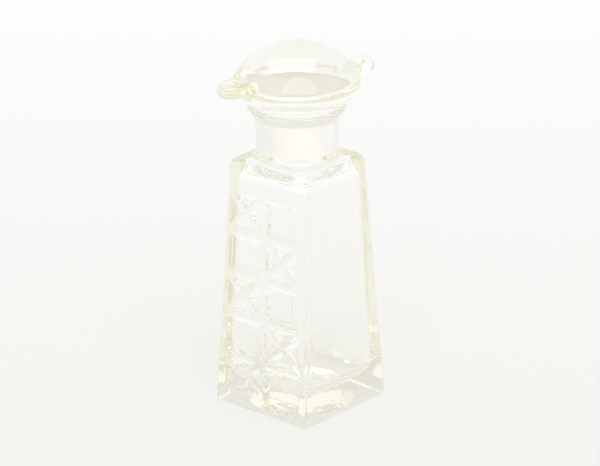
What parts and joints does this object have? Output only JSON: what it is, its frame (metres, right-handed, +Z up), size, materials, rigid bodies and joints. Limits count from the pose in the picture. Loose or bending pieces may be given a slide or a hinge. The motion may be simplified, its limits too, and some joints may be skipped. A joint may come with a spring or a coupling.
{
  "type": "perfume bottle",
  "caption": "Square tapering pressed-glass bottle with a check of square and crossed pockets on one face, and a domed ground-glass stopper with two finger tabs.",
  "frame": {"origin": "centre of the foot, on the plane the bottle stands on", "axes": "+Z up along the bottle's axis; the patterned face looks along -Y and the other three faces are plain"},
  "size_m": [0.0448, 0.0606, 0.1306],
  "materials": {
    "bottle_glass": "clear pressed soda-lime glass with a faint yellow-green tint, frosted in the ground bore",
    "stopper_glass": "clear pressed soda-lime glass with a faint yellow-green tint, frosted on the ground plug"
  },
  "bodies": {
    "bottle": {"bottle": "bottle_glass"},
    "stopper": {"stopper": "stopper_glass"}
  },
  "joints": [
    {"name": "stopper_lift", "type": "slide", "parent": "bottle", "child": "stopper", "axis": [0, 0, 1], "range_m": [0, 0.03]}
  ]
}
